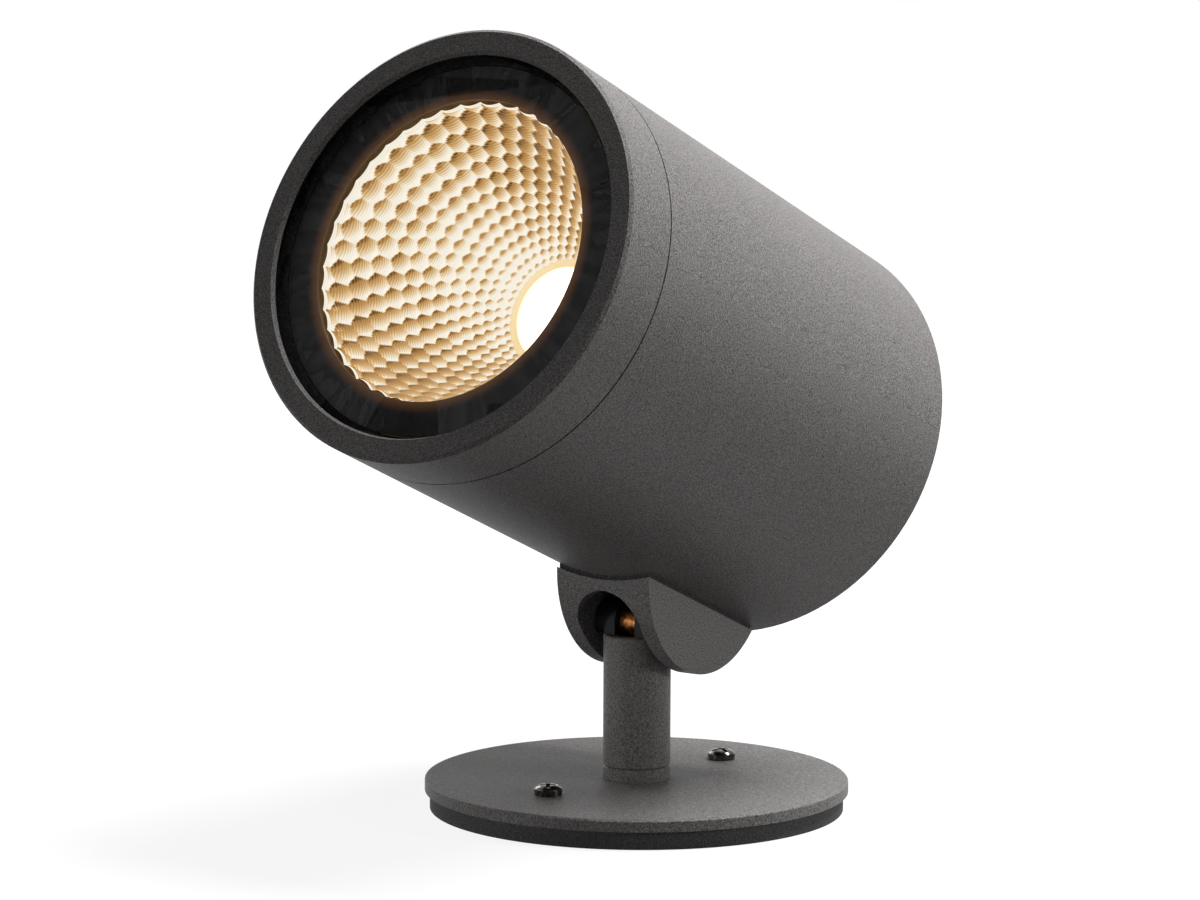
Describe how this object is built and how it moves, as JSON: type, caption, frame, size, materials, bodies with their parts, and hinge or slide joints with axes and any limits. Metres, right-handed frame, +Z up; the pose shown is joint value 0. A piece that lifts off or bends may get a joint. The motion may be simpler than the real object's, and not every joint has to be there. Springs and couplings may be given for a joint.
{
  "type": "landscape spotlight",
  "caption": "Outdoor spotlight with a cylindrical head on a tilting knuckle, a round post that turns on its base, faceted reflector behind glass, and a screw-down base plate with rubber pad",
  "frame": {"origin": "centre of the cable entry on the underside of the base pad, at the mounting surface", "axes": "+Z up along the post, -Y the way the head points in plan, X along the tilt hinge"},
  "size_m": [0.1106, 0.1849, 0.2028],
  "materials": {
    "powder_coat": "fine-texture matt powder coat",
    "pad_rubber": "matt",
    "seal_rubber": "matt",
    "dark_nickel": "polished dark nickel",
    "zinc_steel": "satin",
    "black_steel": "black oxide",
    "black_plastic": "matt",
    "brass": "machined",
    "clear_glass": "polished",
    "gloss_black": "gloss",
    "reflector_metal": "faceted bright metallised",
    "cream_plastic": "satin",
    "led_board": "matt",
    "led_emitter": "lit phosphor",
    "bare_aluminium": "cast",
    "driver_plastic": "matt"
  },
  "bodies": {
    "base": {"base_pad": "pad_rubber", "base_plate": "powder_coat", "swivel_collar": "powder_coat", "base_screws": "dark_nickel"},
    "post": {"friction_washer": "zinc_steel", "swivel_nut": "zinc_steel", "post": "powder_coat", "hinge_fork": "black_steel", "pivot_bush": "brass", "hinge_washers": "black_plastic"},
    "head": {"knuckle": "powder_coat", "knuckle_gasket": "seal_rubber", "knuckle_screws": "zinc_steel", "hinge_bolt": "dark_nickel", "head_housing": "powder_coat", "bezel_o_ring": "seal_rubber", "front_bezel": "powder_coat", "front_glass": "clear_glass", "glass_gasket": "seal_rubber", "glass_mask": "gloss_black", "reflector": "reflector_metal", "led_holder": "cream_plastic", "holder_screws": "zinc_steel", "led_board": "led_board", "led_emitter": "led_emitter", "heat_sink": "bare_aluminium", "heat_sink_screws": "zinc_steel", "led_driver": "driver_plastic", "driver_screws": "zinc_steel", "cable_grommet": "seal_rubber"}
  },
  "joints": [
    {"name": "post_pan", "type": "hinge", "parent": "base", "child": "post", "pos_m": [0, 0, 0], "axis": [0, 0, 1], "range_deg": [-170, 170]},
    {"name": "head_tilt", "type": "hinge", "parent": "post", "child": "head", "pos_m": [0, 0, 0.0485], "axis": [-1, 0, 0], "range_deg": [-47, 37]}
  ]
}
